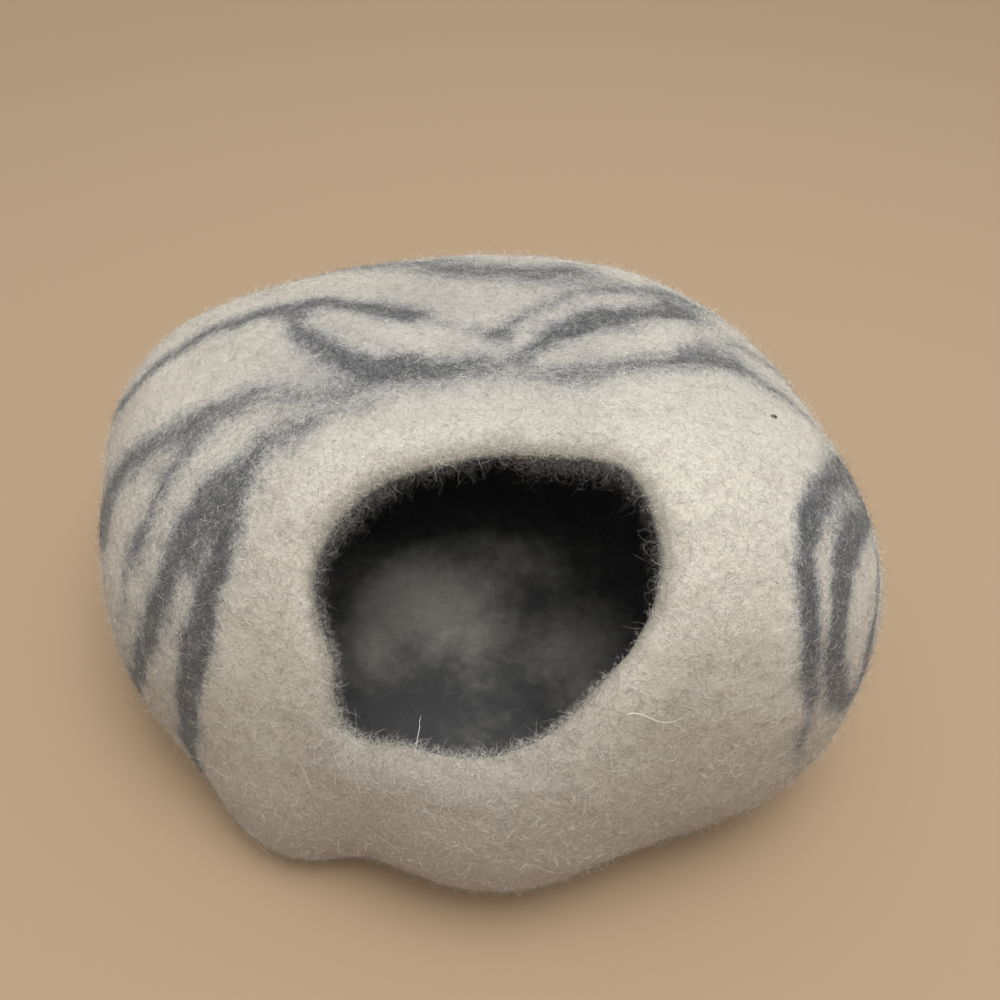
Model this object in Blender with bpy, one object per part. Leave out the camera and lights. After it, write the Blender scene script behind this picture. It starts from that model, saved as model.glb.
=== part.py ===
"""Cat cave of wet-felted wool: one seamless shell with a cut, rolled mouth, standing on its sole.

Metres, +Z up. The sole lies on z = 0, the middle of the cave's box is on the Z axis, and the mouth
looks towards -Y and upwards. Azimuth is measured round +Z from the front (-Y) towards +X, elevation
is measured up from the level of the heart, the point inside the cave from which every reach is taken.
"""
from collections import namedtuple
from math import atan2, cos, degrees, exp, hypot, pi, radians, sin

import bmesh
import bpy
from mathutils import Vector

# The felt.
WALL = 0.007                    # thickness of the fulled wall
LIP_ROUND = 0.0028              # radius worked onto the edges of the cut mouth

# The body: half of a rounded, slightly squared egg above the heart and a flatter half below it.
HEART_HEIGHT = 0.108            # height of the widest part over the floor
REACH_LEFT = 0.293              # from the heart to the left end of the plan
REACH_RIGHT = 0.234
REACH_FRONT = 0.200
REACH_BACK = 0.231
RISE = 0.147                    # from the heart to the crown
DROP = 0.145                    # from the heart to the sole before it is pressed flat
PLAN_SQUARENESS = 1.80          # 2 is an ellipse, less is more like a diamond
UPPER_SQUARENESS = 2.40         # 2 is a dome, more is a flatter crown with fuller shoulders
LOWER_SQUARENESS = 2.80
PLAN_TURN = -21.0               # degrees that the long axis of the plan is turned, seen from above
LEAN_BACK = 0.037               # shift towards the back for each metre of height
TIP_RIGHT = 0.034               # rise for each metre towards the right
HEEL_SOFTNESS = 0.026           # height over which the side rolls under into the sole

# Soft folds, bulges and hollows in the body. Along and across are spreads in degrees.
Fold = namedtuple("Fold", "name azimuth elevation along across turn lift")
FOLDS = (
    Fold("mouth_slant", -3, 20, 36, 16, 0, -0.024),
    Fold("crown_pad", 0, 88, 32, 32, 0, 0.008),
    Fold("crown_sag", 200, 84, 13, 13, 0, -0.007),
    Fold("left_shoulder", -60, 45, 25, 16, 0, 0.004),
    Fold("right_shoulder", 60, 42, 25, 16, 0, 0.009),
    Fold("right_rear_flat", 101, 20, 16, 16, 0, -0.011),
    Fold("rear_notch", -146, 44, 7, 12, 60, -0.005),
    Fold("rear_left_ridge", -114, 34, 9, 20, 0, 0.007),
    Fold("left_cheek", -68, -5, 14, 18, 0, 0.022),
    Fold("left_step", -92, 2, 5, 12, 0, -0.003),
    Fold("left_foot", -40, -28, 10, 15, 0, 0.030),
    Fold("foot_crease", -23, -30, 5, 16, 8, -0.009),
    Fold("front_nose", 2, -15, 10, 16, 0, 0.006),
    Fold("right_front_flat", 29, -18, 13, 18, 0, -0.012),
)

# The mouth: seen square on from outside, clock 0 at its top and 90 at its right.
MOUTH_AZIMUTH = -7.5            # direction of the mouth's middle from the heart, degrees
MOUTH_ELEVATION = 40.0
MOUTH_DISTANCE = 0.165          # from the heart to the plane in which the outline is given
ROLL_WIDTH = 0.026              # strip along the mouth where the felt curls inwards
ROLL_DEPTH = 0.009              # how far the cut edge ends up inside the skin
Corner = namedtuple("Corner", "clock reach")
MOUTH_OUTLINE = (
    Corner(0, 0.074),
    Corner(22, 0.085),
    Corner(42, 0.105),
    Corner(62, 0.095),
    Corner(90, 0.082),
    Corner(120, 0.074),
    Corner(148, 0.081),
    Corner(172, 0.088),
    Corner(198, 0.093),
    Corner(216, 0.109),
    Corner(238, 0.087),
    Corner(270, 0.085),
    Corner(300, 0.079),
    Corner(330, 0.071),
)

# The mesh: spokes run from the mouth round the body to the pole opposite it.
SPOKES = 72
RINGS = 36
FINER_AT_MOUTH = 0.45           # 0 spaces the rings evenly, towards 1 they crowd at the mouth

FELT_COLOUR = (0.640, 0.590, 0.510, 1.0)
FELT_ROUGHNESS = 0.95


def direction(azimuth, elevation):
    """Unit vector for an azimuth and an elevation in degrees."""
    turn = radians(azimuth)
    rise = radians(elevation)
    return Vector((cos(rise) * sin(turn), -cos(rise) * cos(turn), sin(rise)))


def fold_height(fold, ray):
    """How far one fold moves the skin outwards where a ray from the heart meets it."""
    middle = direction(fold.azimuth, fold.elevation)
    sideways = Vector((cos(radians(fold.azimuth)), sin(radians(fold.azimuth)), 0.0))
    upwards = middle.cross(sideways)
    x = ray.dot(sideways)
    y = ray.dot(upwards)
    off_axis = hypot(x, y)
    if off_axis < 1e-9:
        return fold.lift if ray.dot(middle) > 0.0 else 0.0
    spread = degrees(atan2(off_axis, ray.dot(middle))) / off_axis
    turn = radians(fold.turn)
    along = (x * cos(turn) + y * sin(turn)) * spread / fold.along
    across = (y * cos(turn) - x * sin(turn)) * spread / fold.across
    return fold.lift * exp(-0.5 * (along * along + across * across))


def reach(ray):
    """Distance from the heart to the skin along a ray, with every fold in place."""
    turn = radians(PLAN_TURN)
    x = cos(turn) * ray.x + sin(turn) * ray.y
    y = cos(turn) * ray.y - sin(turn) * ray.x
    sideways = abs(x) / (REACH_RIGHT if x > 0.0 else REACH_LEFT)
    depthways = abs(y) / (REACH_BACK if y > 0.0 else REACH_FRONT)
    upwards = abs(ray.z) / (RISE if ray.z > 0.0 else DROP)
    squareness = UPPER_SQUARENESS if ray.z > 0.0 else LOWER_SQUARENESS
    plan = (sideways ** PLAN_SQUARENESS + depthways ** PLAN_SQUARENESS) ** (1.0 / PLAN_SQUARENESS)
    body = (plan ** squareness + upwards ** squareness) ** (-1.0 / squareness)
    return body + sum(fold_height(fold, ray) for fold in FOLDS)


def pressed_flat(height):
    """Height above the floor once the underside has settled flat on it."""
    overlap = max(HEEL_SOFTNESS - abs(height), 0.0) / HEEL_SOFTNESS
    return max(height, 0.0) + overlap * overlap * HEEL_SOFTNESS / 4.0


def skin_point(ray, sunk):
    """Point of the outer skin on a ray from the heart, sunk inwards by a distance."""
    point = ray * (reach(ray) - sunk)
    point.z += TIP_RIGHT * point.x
    point.y += LEAN_BACK * point.z
    point.z = pressed_flat(point.z + HEART_HEIGHT)
    return point


def mouth_reach(clock):
    """Half opening of the mouth at a clock angle in degrees, on a smooth closed curve."""
    clock %= 360.0
    count = len(MOUTH_OUTLINE)
    index = max(i for i in range(count) if MOUTH_OUTLINE[i].clock <= clock)
    before, start, end, after = (MOUTH_OUTLINE[(index + step) % count] for step in (-1, 0, 1, 2))
    span = (end.clock - start.clock) % 360.0
    start_slope = (end.reach - before.reach) / ((end.clock - before.clock) % 360.0) * span
    end_slope = (after.reach - start.reach) / ((after.clock - start.clock) % 360.0) * span
    t = (clock - start.clock) / span
    rise = end.reach - start.reach
    swing = (start_slope - rise) * (1.0 - t) + (rise - end_slope) * t
    return start.reach + rise * t + t * (1.0 - t) * swing


def mouth_frame():
    """Axis of the mouth from the heart, with the directions to its right and its top."""
    axis = direction(MOUTH_AZIMUTH, MOUTH_ELEVATION)
    right = direction(MOUTH_AZIMUTH + 90.0, 0.0)
    return axis, right, axis.cross(right)


def spoke_ray(clock, share, frame):
    """Ray at a clock angle, from the mouth's edge at share 0 to the pole behind at share 1."""
    axis, right, top = frame
    away = right * sin(radians(clock)) + top * cos(radians(clock))
    edge = atan2(mouth_reach(clock), MOUTH_DISTANCE)
    eased = share * (1.0 - FINER_AT_MOUTH) + share * share * FINER_AT_MOUTH
    opening = edge + (pi - edge) * eased
    return axis * cos(opening) + away * sin(opening), (opening - edge)


def roll_depth(distance):
    """How far the felt curls in at a distance along the skin from the cut edge."""
    return ROLL_DEPTH * max(1.0 - distance / ROLL_WIDTH, 0.0) ** 2


def make_skin():
    """The outer skin: a ball opened at the mouth, every point drawn out to its reach."""
    mesh = bmesh.new()
    bmesh.ops.create_uvsphere(mesh, u_segments=SPOKES, v_segments=RINGS + 1, radius=1.0)
    mouth_pole = max(mesh.verts, key=lambda vert: vert.co.z)
    bmesh.ops.delete(mesh, geom=[mouth_pole], context="VERTS")
    frame = mouth_frame()
    for vert in mesh.verts:
        clock = degrees(atan2(vert.co.x, vert.co.y))
        ring = atan2(hypot(vert.co.x, vert.co.y), vert.co.z) / pi * (RINGS + 1)
        ray, angle = spoke_ray(clock, (ring - 1.0) / RINGS, frame)
        vert.co = skin_point(ray, roll_depth(angle * reach(ray)))
    bmesh.ops.recalc_face_normals(mesh, faces=mesh.faces)
    return mesh


def centre_on_floor(mesh):
    """Bring the middle of the box over the origin. The sole lies on the floor already."""
    across = [vert.co.x for vert in mesh.verts]
    deep = [vert.co.y for vert in mesh.verts]
    middle = Vector((min(across) + max(across), min(deep) + max(deep), 0.0)) / 2.0
    bmesh.ops.translate(mesh, verts=mesh.verts, vec=-middle)


def felt_material():
    """Cream wool felt, matt all over."""
    material = bpy.data.materials.new("wool_felt")
    material.use_nodes = True
    shader = material.node_tree.nodes["Principled BSDF"]
    shader.inputs["Base Color"].default_value = FELT_COLOUR
    shader.inputs["Roughness"].default_value = FELT_ROUGHNESS
    shader.inputs["Metallic"].default_value = 0.0
    material.diffuse_color = FELT_COLOUR
    return material


def make_cave():
    """The felt shell as one object: skin, wall thickness and rounded mouth edge."""
    mesh = make_skin()
    centre_on_floor(mesh)
    data = bpy.data.meshes.new("felt_cave")
    mesh.to_mesh(data)
    mesh.free()
    data.materials.append(felt_material())
    data.shade_smooth()
    cave = bpy.data.objects.new("felt_cave", data)
    bpy.context.scene.collection.objects.link(cave)
    wall = cave.modifiers.new("wall", "SOLIDIFY")
    wall.thickness = WALL
    wall.offset = -1.0
    wall.use_even_offset = True
    wall.use_rim = True
    lip = cave.modifiers.new("lip", "BEVEL")
    lip.width = LIP_ROUND
    lip.segments = 2
    lip.limit_method = "ANGLE"
    lip.angle_limit = radians(55.0)
    return cave


def clear_scene():
    """Remove every object that the scene starts with."""
    for thing in list(bpy.data.objects):
        bpy.data.objects.remove(thing, do_unlink=True)


clear_scene()
make_cave()
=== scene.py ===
"""Looks of the felt cat cave: matted wool wall with marbled grey stripes, its loose nap, the curly
fringe round the mouth, a few stray hairs, and a plain studio round it.

Metres, +Z up, the cave's box centred on the Z axis and its sole on z = 0. Directions are taken from
the heart, a point inside the cave: azimuth is measured round +Z from the front (-Y) towards +X, and
elevation up from the level of the heart.
"""
from collections import namedtuple
from math import cos, radians, sin, tau

import bpy
import numpy as np
from bpy.props import FloatProperty, FloatVectorProperty, IntProperty, PointerProperty
from mathutils import Matrix, Vector
from mathutils.bvhtree import BVHTree


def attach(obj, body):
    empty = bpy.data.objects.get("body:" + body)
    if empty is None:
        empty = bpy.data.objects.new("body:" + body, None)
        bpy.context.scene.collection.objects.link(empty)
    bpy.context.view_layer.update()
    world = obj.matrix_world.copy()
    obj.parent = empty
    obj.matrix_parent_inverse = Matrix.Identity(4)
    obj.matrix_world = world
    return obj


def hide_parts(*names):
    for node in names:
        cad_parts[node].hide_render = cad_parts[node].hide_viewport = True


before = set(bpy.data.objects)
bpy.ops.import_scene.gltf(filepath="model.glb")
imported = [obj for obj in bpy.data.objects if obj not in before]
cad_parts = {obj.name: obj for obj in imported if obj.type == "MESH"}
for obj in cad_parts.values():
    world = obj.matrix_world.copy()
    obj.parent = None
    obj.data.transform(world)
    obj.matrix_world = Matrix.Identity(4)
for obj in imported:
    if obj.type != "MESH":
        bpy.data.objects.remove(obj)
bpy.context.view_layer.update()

bl_info = {
    "name": "Felt Cat Cave",
    "version": (1, 0, 0),
    "blender": (4, 5, 0),
    "location": "3D View > Sidebar > Cat Cave",
    "description": "Finishes a wet-felted cat cave with marbled wool, nap, fringe and a plain studio",
    "category": "Object",
}

BODY = "root"
CAVE_NODE = "felt_cave"

# The cave's own reference points.
HEART = Vector((0.027, -0.017, 0.108))
OUTSIDE = 0.6                   # from the heart to well outside the cave
MOUTH_MIDDLE = Vector((0.012, -0.145, 0.215))
MOUTH_REACH = 0.125             # from the mouth's middle to well outside its rolled edge
LIP_CORNER = Vector((-0.055, -0.168, 0.142))
RIM_FUZZ_DEPTH = 0.0028
SOLE_HEIGHT = 0.004             # the felt below this lies on the floor

# The studio.
FLOOR_RADIUS = 7.0
WINDOW_PLACE = Vector((0.28, -0.22, 2.15))
WINDOW_BREADTH = 1.2
LAMP_RAY = Vector((0.08, -0.65, 1.0)).normalized()   # from the mouth towards its lamp
LAMP_DISTANCE = 2.2
LAMP_SPREAD = radians(3.8)
LAMP_RADIUS = 0.065
LAMP_TINT = (1.0, 0.985, 0.955)
CAMERA_PLACE = (0.0194, -0.4056)   # its height is a setting

# Names of the values that the felt carries at each of its points.
GREY = "grey_wool"
INNER = "inner_wool"
# painted shade over the mouth's rolled edge, partly the dark inner wool
RIM = "rim_shade"
FIBRES = ("white_fibre", "ivory_fibre", "taupe_fibre", "ash_fibre", "slate_fibre", "soot_fibre")
COURSE = "strand_course"        # which way the nearest grey strand runs
LOCK_SPREAD = 0.12              # how unlike each other the locks in one strand are

# Shares of the tones in FIBRES, from white to soot.
CREAM_NAP = (0.22, 0.51, 0.18, 0.05, 0.04, 0.0)
GREY_NAP = (0.05, 0.09, 0.05, 0.29, 0.31, 0.21)
INSIDE_NAP = (0.0, 0.05, 0.2, 0.35, 0.3, 0.1)
CREAM_FUZZ = (0.18, 0.5, 0.2, 0.06, 0.06, 0.0)
# fuzz under the mouth's edge, mostly soot and darker than the inner wool: partly painted shade
DARK_FUZZ = (0.0, 0.0, 0.03, 0.07, 0.27, 0.63)
CURL_TONES = (0.0, 0.02, 0.2, 0.34, 0.3, 0.14)

# Loose wool: how many fibres, how many steps each has, and their usual length and breadth.
NAP_STEPS = 3
INSIDE_COUNT, INSIDE_LENGTH, INSIDE_BREADTH = 5000, 0.007, 0.00013
FUZZ_COUNT, FUZZ_STEPS, FUZZ_BREADTH = 12000, 4, 0.00011
FUZZ_LENGTH, FUZZ_LENGTH_LOW = 0.0042, 0.0033   # the second is added on the low front lip
CURL_COUNT, CURL_STEPS, CURL_LENGTH, CURL_BREADTH = 1400, 16, 0.022, 0.00013
HAIR_STEPS = 14

# How far the nap stands up: looseness below which a fibre counts, then its least and most lift.
NAP_LIFTS = ((0.6, 0.0003, 0.0011), (0.87, 0.0008, 0.0026), (1.0, 0.0022, 0.0058))

# Strands of grey fleece laid over the cream body before fulling. Width is half the strand's breadth
# in metres and depth how dark it is, each at its start, middle and end; the path is a row of
# (azimuth, elevation) directions in degrees.
Strand = namedtuple("Strand", "name width depth path")
STRANDS = (
    Strand("crown_veil", (.011, .016, .012), (.3, .5, .5), (
        (-80, 56), (-82, 66), (-87, 77), (-92, 86), (78, 86), (87, 78))),
    Strand("back_top", (.016, .023, .02), (.55, .85, .9), (
        (-138, 24), (-147, 31), (-156, 38), (-166, 46), (178, 51), (167, 48))),
    Strand("left_high", (.006, .009, .009), (.84, .97, 1.04), (
        (-100, 14), (-104, 23), (-110, 33), (-117, 42), (-123, 50), (-127, 61))),
    Strand("left_high_tail", (.008, .006, .006), (.65, .45, .55), ((-127, 60), (-135, 68), (-158, 74))),
    Strand("left_hook", (.007, .0094, .009), (.72, 1.32, .72), (
        (-114, 41), (-108, 46), (-99, 53), (-92, 61), (-90, 66), (-91, 71), (-97, 75), (-108, 80))),
    Strand("left_mid", (.014, .011, .008), (1.1, .8, .52), (
        (-84, 9), (-86, 17), (-86, 24), (-86, 34), (-87, 41), (-86, 47), (-83, 52), (-81, 57))),
    Strand("left_thin", (.008, .01, .008), (.65, .88, .3), (
        (-83, 34), (-80, 30), (-75, 23), (-73, 20), (-72, 16), (-70, 12), (-69, 8), (-69, 0))),
    Strand("main", (.006, .011, .012), (.28, .76, .84), (
        (-70, 65), (-71, 58), (-72.5, 53), (-73, 48), (-71.5, 43), (-69, 38.5), (-67, 35), (-65, 31))),
    Strand("fork_left", (.01, .0074, .006), (.9, 1.22, 1.05), (
        (-69, 33), (-67, 27), (-64.7, 23), (-64, 16.5), (-62.7, 11.4), (-63.3, 4.8), (-65.8, -4),
        (-69, -11))),
    Strand("fork_right", (.009, .008, .006), (.78, 1.48, 1.2), (
        (-65, 35), (-63, 32.5), (-59.5, 28.5), (-58, 23), (-56.5, 19), (-55.5, 13), (-54.7, 6.5),
        (-54, 0.5), (-53.5, -8), (-52, -15), (-48, -22))),
    Strand("right_long", (.01, .011, .008), (.55, .95, .6), (
        (76, 82), (93, 75), (99, 67), (102, 60), (105, 52), (103, 46), (100, 43), (97, 39), (95, 34))),
    Strand("right_shoulder", (.008, .014, .012), (.3, .6, .55), (
        (109, 55), (113, 48), (115, 41), (113, 35), (112, 28))),
    Strand("right_mid", (.007, .0095, .01), (.85, 1.26, .92), (
        (-174, 84), (163, 80), (152, 75), (147, 71), (140, 66), (135, 60), (132, 54), (130, 45))),
    Strand("right_high", (.007, .006, .008), (.78, .62, .6), (
        (-156, 75), (-167, 73), (-178, 71), (170, 66), (161, 60), (153, 53), (146, 46), (140, 40))),
    Strand("right_haze", (.015, .02, .016), (.35, .66, .55), (
        (146, 50), (138, 48), (137, 42), (134, 36))),
    Strand("flank_outer", (.009, .0053, .0042), (1.1, 1.4, .7), (
        (84, 31), (76, 34.5), (66.5, 36.7), (59.5, 36), (56, 34), (54, 30), (51.5, 26.8), (50, 21.5),
        (49.5, 16), (49, 10), (50, 2), (53, -8))),
    Strand("flank_inner", (.0088, .0066, .0068), (1.35, 1.85, 1.8), (
        (79, 25), (71.5, 29), (66, 29.6), (62, 27.7), (59, 24.8), (56, 21), (54.3, 16.8), (55.6, 11.5))),
    Strand("flank_turn", (.007, .006, .005), (1.2, 1.0, .75), (
        (55.6, 12), (59.5, 5), (62.2, 6.5), (63, 11.5), (65.5, 15.5), (68.5, 18), (73, 21))),
    # the far side, finished in the same manner
    Strand("rear_left", (.005, .011, .007), (.35, .9, .6), (
        (-147, 28), (-142, 18), (-141, 6), (-144, -8))),
    Strand("rear_left_fork", (.007, .009, .005), (.75, .85, .5), (
        (-141, 20), (-130, 11), (-124, 0), (-122, -12))),
    Strand("rear_middle", (.006, .012, .006), (.4, .9, .6), (
        (-178, 34), (176, 26), (174, 12), (179, -4), (-177, -14))),
    Strand("rear_right", (.006, .011, .006), (.4, .9, .6), (
        (150, 32), (146, 24), (148, 10), (143, -4), (140, -14))),
    Strand("rear_right_fork", (.007, .009, .005), (.4, .9, .5), (
        (125, 30), (124, 20), (119, 5), (117, -10))),
    Strand("left_rear_low", (.006, .009, .005), (.75, .75, .4), (
        (-100, 15), (-105, 5), (-106, -5), (-103, -16))),
    Strand("left_mid_low", (.013, .009, .005), (1.0, .8, .35), (
        (-84, 10), (-86, 3), (-86, -6), (-84, -17))),
    Strand("flank_tail", (.009, .0085, .005), (.95, .8, .35), (
        (84, 28), (91, 22), (95, 12), (96, 1), (95, -12))),
)

# Painted light: paler patches in the dark wool of the inside, where the light through the mouth falls on
# the inner floor, as middles and spreads in metres.
Patch = namedtuple("Patch", "middle spread strength")
PAINTED_LIGHT_PATCHES = (
    Patch((-0.035, 0.012, 0.007), (0.06, 0.042, 0.08), 0.92),
    Patch((-0.072, -0.026, 0.007), (0.032, 0.032, 0.05), 0.78),
    Patch((0.000, -0.045, 0.007), (0.06, 0.026, 0.04), 0.34),
    Patch((0.015, -0.095, 0.007), (0.06, 0.026, 0.04), 0.3),
    Patch((0.085, -0.02, 0.007), (0.04, 0.045, 0.04), 0.6),
    Patch((0.04, 0.06, 0.007), (0.07, 0.036, 0.06), 0.5),
    Patch((-0.11, 0.03, 0.05), (0.04, 0.06, 0.04), 0.45),
)

# Painted shade over the front, below the mouth, as more oatmeal in the cream.
LIP_SHADE = Patch((-0.01, -0.2, 0.12), (0.09, 0.05, 0.055), 0.42)

# Less oatmeal in the cream, on the right shoulder and beside the mouth.
LESS_OATMEAL = (
    Patch((0.13, -0.04, 0.255), (0.035, 0.035, 0.04), 0.24),
    Patch((-0.105, -0.143, 0.16), (0.04, 0.035, 0.045), 0.36),
)

# Stray hairs: where they leave the felt, which way they lie (degrees from straight up the wall,
# clockwise), how long they are, how far their ends stand off, how far they turn (radians) and how
# broad they are.
Hair = namedtuple("Hair", "azimuth elevation heading length stand curl breadth", defaults=(0.0004,))
HAIRS = (
    Hair(23.2, 27.6, 74, 0.029, 0.0062, 0.14, 0.0011),
    Hair(20.7, 22.2, 64, 0.031, 0.004, 0.85, 0.00048),
    Hair(-15.1, 9.8, 0, 0.004, 0.019, 0.2, 0.0005),
    Hair(-20, -8, 75, 0.024, 0.004, 0.6),
    Hair(-34, 2, 120, 0.022, 0.005, 0.5),
    Hair(-30, 8, 40, 0.04, 0.005, 0.5),
    Hair(-42, -20, 110, 0.034, 0.006, 0.6),
    Hair(-50, -10, 30, 0.04, 0.006, 0.7),
    Hair(12, 65, 80, 0.015, 0.001, 0.5, 0.0005),
    Hair(14, 65, 95, 0.012, 0.0015, -0.4, 0.0005),
    Hair(5, -7, 92, 0.022, 0.004, 0.6),
    Hair(10, -12, 60, 0.026, 0.005, 1.0),
    Hair(70, -6, 20, 0.035, 0.006, 0.8),
    Hair(-100, 8, 70, 0.035, 0.006, 0.9),
    Hair(150, 20, 120, 0.04, 0.006, 0.7),
)


def direction(azimuth, elevation):
    """Unit vector for an azimuth and an elevation in degrees."""
    turn = radians(azimuth)
    rise = radians(elevation)
    return Vector((cos(rise) * sin(turn), -cos(rise) * cos(turn), sin(rise)))


# --- helpers for modelling


def deselect_all():
    """Leaves nothing selected, so that the next operator acts on its own piece only."""
    if bpy.context.object and bpy.context.object.mode != "OBJECT":
        bpy.ops.object.mode_set(mode="OBJECT")
    for item in bpy.context.selected_objects:
        item.select_set(False)


def make_active(item):
    """Selects one object alone and makes it the active one."""
    deselect_all()
    item.select_set(True)
    bpy.context.view_layer.objects.active = item


def apply_modifier(item, kind, **settings):
    """Adds a modifier to a piece, sets it and applies it."""
    make_active(item)
    bpy.ops.object.modifier_add(type=kind)
    modifier = item.modifiers[-1]
    for key, value in settings.items():
        setattr(modifier, key, value)
    bpy.ops.object.modifier_apply(modifier=modifier.name)


def finish_piece(piece):
    """Makes a finished piece of the cave ride on its body."""
    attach(piece, BODY)


# --- helpers for materials


def feed(tree, socket, value):
    """Links or sets one input."""
    if isinstance(value, bpy.types.NodeSocket):
        tree.links.new(value, socket)
    else:
        socket.default_value = value


def feed_named(tree, step, inputs):
    """Feeds a node's inputs by name; each is a plain value or the socket it is fed from."""
    for key, value in inputs.items():
        feed(tree, step.inputs[key.replace("_", " ")], value)


def new_material(name, **inputs):
    """A node material with a Principled shader whose named inputs are fed, and that shader."""
    material = bpy.data.materials.new(name)
    material.use_nodes = True
    shader = material.node_tree.nodes["Principled BSDF"]
    feed_named(material.node_tree, shader, inputs)
    return material, shader


def add(tree, kind, settings=None, *values, **inputs):
    """Adds a shader node and feeds its inputs, in order and by name."""
    step = tree.nodes.new("ShaderNode" + kind)
    for key, value in (settings or {}).items():
        setattr(step, key, value)
    for socket, value in zip(step.inputs, values):
        feed(tree, socket, value)
    feed_named(tree, step, inputs)
    return step


def maths(tree, operation, *values, clamp=False):
    """A Math node's result."""
    return add(tree, "Math", {"operation": operation, "use_clamp": clamp}, *values).outputs[0]


def stir(tree, value, *layers):
    """The value pushed up and down by each layer, a noise and its share."""
    for noise, share in layers:
        value = maths(tree, "MULTIPLY_ADD", maths(tree, "SUBTRACT", noise, 0.5), share, value)
    return value


def vectors(tree, operation, *values, **inputs):
    """A Vector Math node."""
    return add(tree, "VectorMath", {"operation": operation}, *values, **inputs)


def ease(tree, value, low, high, floor=0.0, top=1.0):
    """The value mapped smoothly from low..high to floor..top."""
    step = add(tree, "MapRange", {"interpolation_type": "SMOOTHSTEP"}, Value=value,
               From_Min=low, From_Max=high, To_Min=floor, To_Max=top)
    return step.outputs[0]


def blend(tree, factor, first, second):
    """A Mix Color node's result."""
    step = add(tree, "Mix", {"data_type": "RGBA"})
    for number, value in ((0, factor), (6, first), (7, second)):
        feed(tree, step.inputs[number], value)
    return step.outputs[2]


def grain(tree, place, scale, detail=2.0, roughness=0.5, distortion=0.0):
    """A noise value from 0 to 1 at so many lumps a metre."""
    step = add(tree, "TexNoise", Vector=place, Scale=scale, Detail=detail, Roughness=roughness,
               Distortion=distortion)
    return step.outputs["Fac"]


def held_by_felt(tree, name, output="Fac"):
    """What the felt holds under one name at each of its points."""
    return add(tree, "Attribute", {"attribute_name": name}).outputs[output]


def streaks(tree, place, course, scale, step, count=6):
    """Noise drawn out along the strand's course, like fleece that was carded one way."""
    total = None
    for k in range(count):
        reach = vectors(tree, "SCALE", course, Scale=step * (k - (count - 1) / 2))
        moved = vectors(tree, "ADD", place, reach.outputs[0])
        level = grain(tree, moved.outputs[0], scale, 1.0)
        total = level if total is None else maths(tree, "ADD", total, level)
    return maths(tree, "MULTIPLY_ADD", total, 1.0 / count, -0.5)


def patch_share(tree, place, patch):
    """A patch's strength at each place, fading out all round its middle."""
    gap = vectors(tree, "SUBTRACT", place, patch.middle).outputs[0]
    share = vectors(tree, "DIVIDE", gap, patch.spread).outputs[0]
    square = vectors(tree, "DOT_PRODUCT", share, share).outputs["Value"]
    fade = maths(tree, "EXPONENT", maths(tree, "MULTIPLY", square, -0.5))
    return maths(tree, "MULTIPLY", fade, patch.strength)


def curls(tree, place, *layers):
    """Thin winding lines, like crimped wool fibres lying on the felt: 1 on a line, 0 off it. Each
    layer has a scale, a breadth and an offset that keeps it from repeating another."""
    found = 0.0
    for scale, breadth, offset in layers:
        moved = add(tree, "Mapping", None, Vector=place, Location=offset).outputs[0]
        level = grain(tree, moved, scale, 1.0, 0.5, 0.6)
        off_line = maths(tree, "ABSOLUTE", maths(tree, "SUBTRACT", level, 0.5))
        found = maths(tree, "MAXIMUM", found, ease(tree, off_line, 0.0, breadth, 1.0, 0.0))
    return found


# --- the felt's own values


def unit(rays):
    """The rays, each made one long."""
    return rays / np.linalg.norm(rays, axis=1)[:, None]


def cast(tree, ray):
    """Place and normal where a ray from outside meets the felt on its way to the heart."""
    return tree.ray_cast(HEART + ray * OUTSIDE, -ray)[:2]


def smooth_path(path, steps=14):
    """Directions along a smooth curve through a strand's own directions, with a share 0..1 each."""
    rays = [direction(*pair) for pair in path]
    rays = [2 * rays[0] - rays[1]] + rays + [2 * rays[-1] - rays[-2]]
    found = []
    for i in range(1, len(rays) - 2):
        before, start, end, after = rays[i - 1:i + 3]
        for k in range(steps):
            t = k / steps
            ray = 0.5 * (
                2 * start + (end - before) * t
                + (2 * before - 5 * start + 4 * end - after) * t * t
                + (3 * start - before - 3 * end + after) * t * t * t
            )
            found.append(((i - 1 + t) / (len(rays) - 3), ray.normalized()))
    found.append((1.0, rays[-2].normalized()))
    return found


def strand_points(tree):
    """Points of every strand on the outer skin, one row each: place, half breadth, depth, strand's
    number, distance along the strand, and the strand's course there."""
    rows = []
    for number, strand in enumerate(STRANDS):
        own = []
        for share, ray in smooth_path(strand.path):
            place, _ = cast(tree, ray)
            sizes = [np.interp(share, (0, 0.5, 1), ends) for ends in (strand.width, strand.depth)]
            own.append((*place, *sizes, number))
        own = np.array(own)
        course = np.gradient(own[:, :3], axis=0)
        gone = np.linalg.norm(course, axis=1)
        course /= gone[:, None]
        rows.append(np.column_stack((own, np.cumsum(gone), course)))
    return np.concatenate(rows)


def wander(points, scale, seed):
    """Smooth noise about 0 at each point, from a few waves that cross each other."""
    rng = np.random.default_rng(seed)
    total = np.zeros(len(points))
    for _ in range(9):
        wave = rng.normal(size=3)
        wave *= tau * scale * rng.uniform(0.6, 1.4) / np.linalg.norm(wave)
        total += np.sin(points @ wave + rng.uniform(0, tau))
    return total / 3.0


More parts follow.
